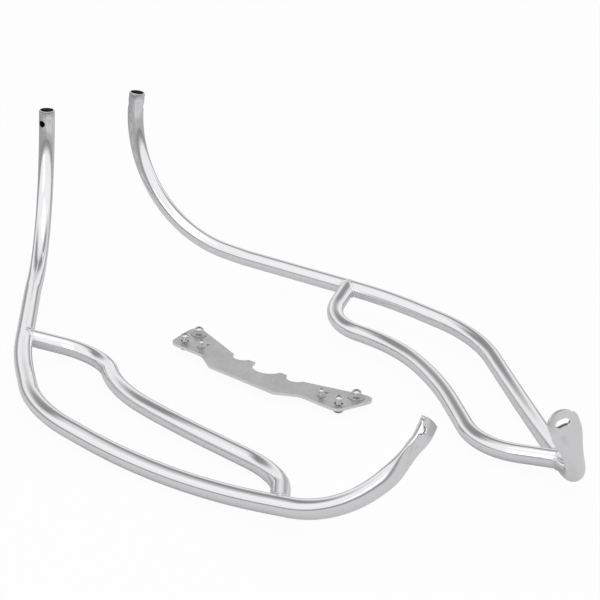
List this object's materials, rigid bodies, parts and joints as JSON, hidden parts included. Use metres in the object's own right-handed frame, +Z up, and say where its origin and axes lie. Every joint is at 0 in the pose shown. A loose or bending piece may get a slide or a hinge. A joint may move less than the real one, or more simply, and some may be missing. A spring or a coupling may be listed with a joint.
{
  "type": "motorcycle crash bar kit",
  "caption": "Pair of mirrored bent tube crash bars with welded braces, dished slotted ends and open cross-drilled ends, with a scalloped mounting plate and its screws.",
  "frame": {"origin": "on the floor below the middle of the bounding box", "axes": "+Z up, +Y along the bars from the slotted ends to the open ends, +X from the left frame to the right one"},
  "size_m": [0.7039, 1.1555, 0.2809],
  "materials": {
    "polished_tube": "polished",
    "weld_metal": "polished",
    "brushed_plate": "satin",
    "bright_screws": "polished",
    "zinc_washers": "satin"
  },
  "bodies": {
    "root": {"left_open_end": "polished_tube", "left_main_tube": "polished_tube", "left_slotted_end": "polished_tube", "left_brace_tube": "polished_tube", "left_upper_weld": "weld_metal", "left_lower_weld": "weld_metal", "right_open_end": "polished_tube", "right_main_tube": "polished_tube", "right_slotted_end": "polished_tube", "right_brace_tube": "polished_tube", "right_upper_weld": "weld_metal", "right_lower_weld": "weld_metal", "mounting_plate": "brushed_plate", "plate_sleeves": "bright_screws", "large_post_screws": "bright_screws", "large_washers": "zinc_washers", "large_sleeve_screws": "bright_screws", "small_plate_screws": "bright_screws", "small_plate_washers": "zinc_washers"}
  },
  "joints": []
}
